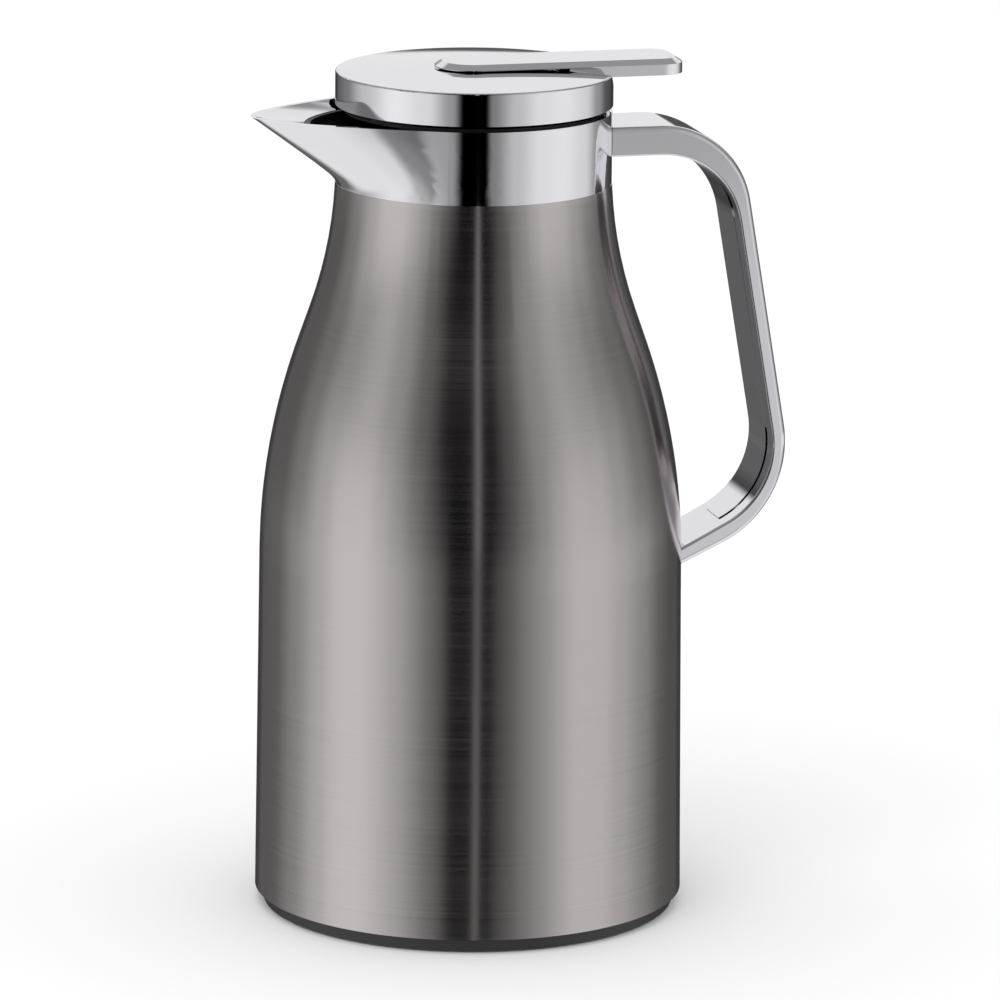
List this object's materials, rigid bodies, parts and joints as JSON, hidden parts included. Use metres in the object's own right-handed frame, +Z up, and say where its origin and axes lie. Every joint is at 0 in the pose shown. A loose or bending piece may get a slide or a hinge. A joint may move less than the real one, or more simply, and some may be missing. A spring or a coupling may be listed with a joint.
{
  "type": "thermal jug",
  "caption": "Tall insulated jug with a necked casing, chromed collar with a pointed spout, strap handle and a screw lid whose thumb lever lifts a pouring valve.",
  "frame": {"origin": "on the jug's upright axis, on the plane that it stands on", "axes": "+Z up, +X from the axis to the handle, so the spout points to -X, and +Y to the left of someone who looks along +X"},
  "size_m": [0.157, 0.1246, 0.2482],
  "materials": {
    "casing_steel": "tinted dark grey, finely brushed round the body",
    "chrome": "polished",
    "dark_plastic": "satin black",
    "soft_rubber": "matt",
    "silvered_glass": "silvered between its walls",
    "spacer_felt": "matt",
    "plain_steel": "plain"
  },
  "bodies": {
    "jug": {"outer_casing": "casing_steel", "base_cup": "dark_plastic", "foot_ring": "soft_rubber", "insert_cushion": "soft_rubber", "flask_outer": "silvered_glass", "flask_inner": "silvered_glass", "flask_spacers": "spacer_felt", "neck_gasket": "soft_rubber", "collar": "chrome", "throat_liner": "dark_plastic", "thread_ring": "dark_plastic", "lock_ring": "dark_plastic", "handle_shell": "chrome", "handle_inlay": "chrome", "handle_bracket": "plain_steel", "handle_upper_screws": "plain_steel", "handle_lower_screws": "plain_steel"},
    "lid_seal": {"closure_seal": "soft_rubber"},
    "lid": {"lid_cap": "chrome", "closure_plug": "dark_plastic", "lid_screws": "plain_steel", "lever_pin": "plain_steel", "stem_bush": "dark_plastic", "valve_spring": "plain_steel"},
    "lever": {"lever": "chrome", "link_pin": "plain_steel"},
    "valve": {"valve_stem": "plain_steel", "valve_disc": "dark_plastic", "valve_gasket": "soft_rubber"}
  },
  "joints": [
    {"name": "lid_lift", "type": "slide", "parent": "jug", "child": "lid_seal", "axis": [0, 0, 1], "range_m": [0, 0.0084]},
    {"name": "lid_turn", "type": "hinge", "parent": "lid_seal", "child": "lid", "pos_m": [0, 0, 0.225], "axis": [0, 0, 1], "range_deg": [0, 300]},
    {"name": "lever_press", "type": "hinge", "parent": "lid", "child": "lever", "pos_m": [0.03, 0, 0.241], "axis": [0, 1, 0], "range_deg": [0, 8]},
    {"name": "valve_lift", "type": "slide", "parent": "lid", "child": "valve", "axis": [0, 0, 1], "range_m": [0, 0.0041], "stiffness_N_per_m": 12, "springref_m": -0.0042, "deforming": ["valve_spring"]}
  ],
  "couplings": [
    {"joint": "lid_lift", "follows": "lid_turn", "m_per_rad": 0.0015915},
    {"joint": "lever_press", "follows": "valve_lift", "rad_per_m": 33.333}
  ]
}
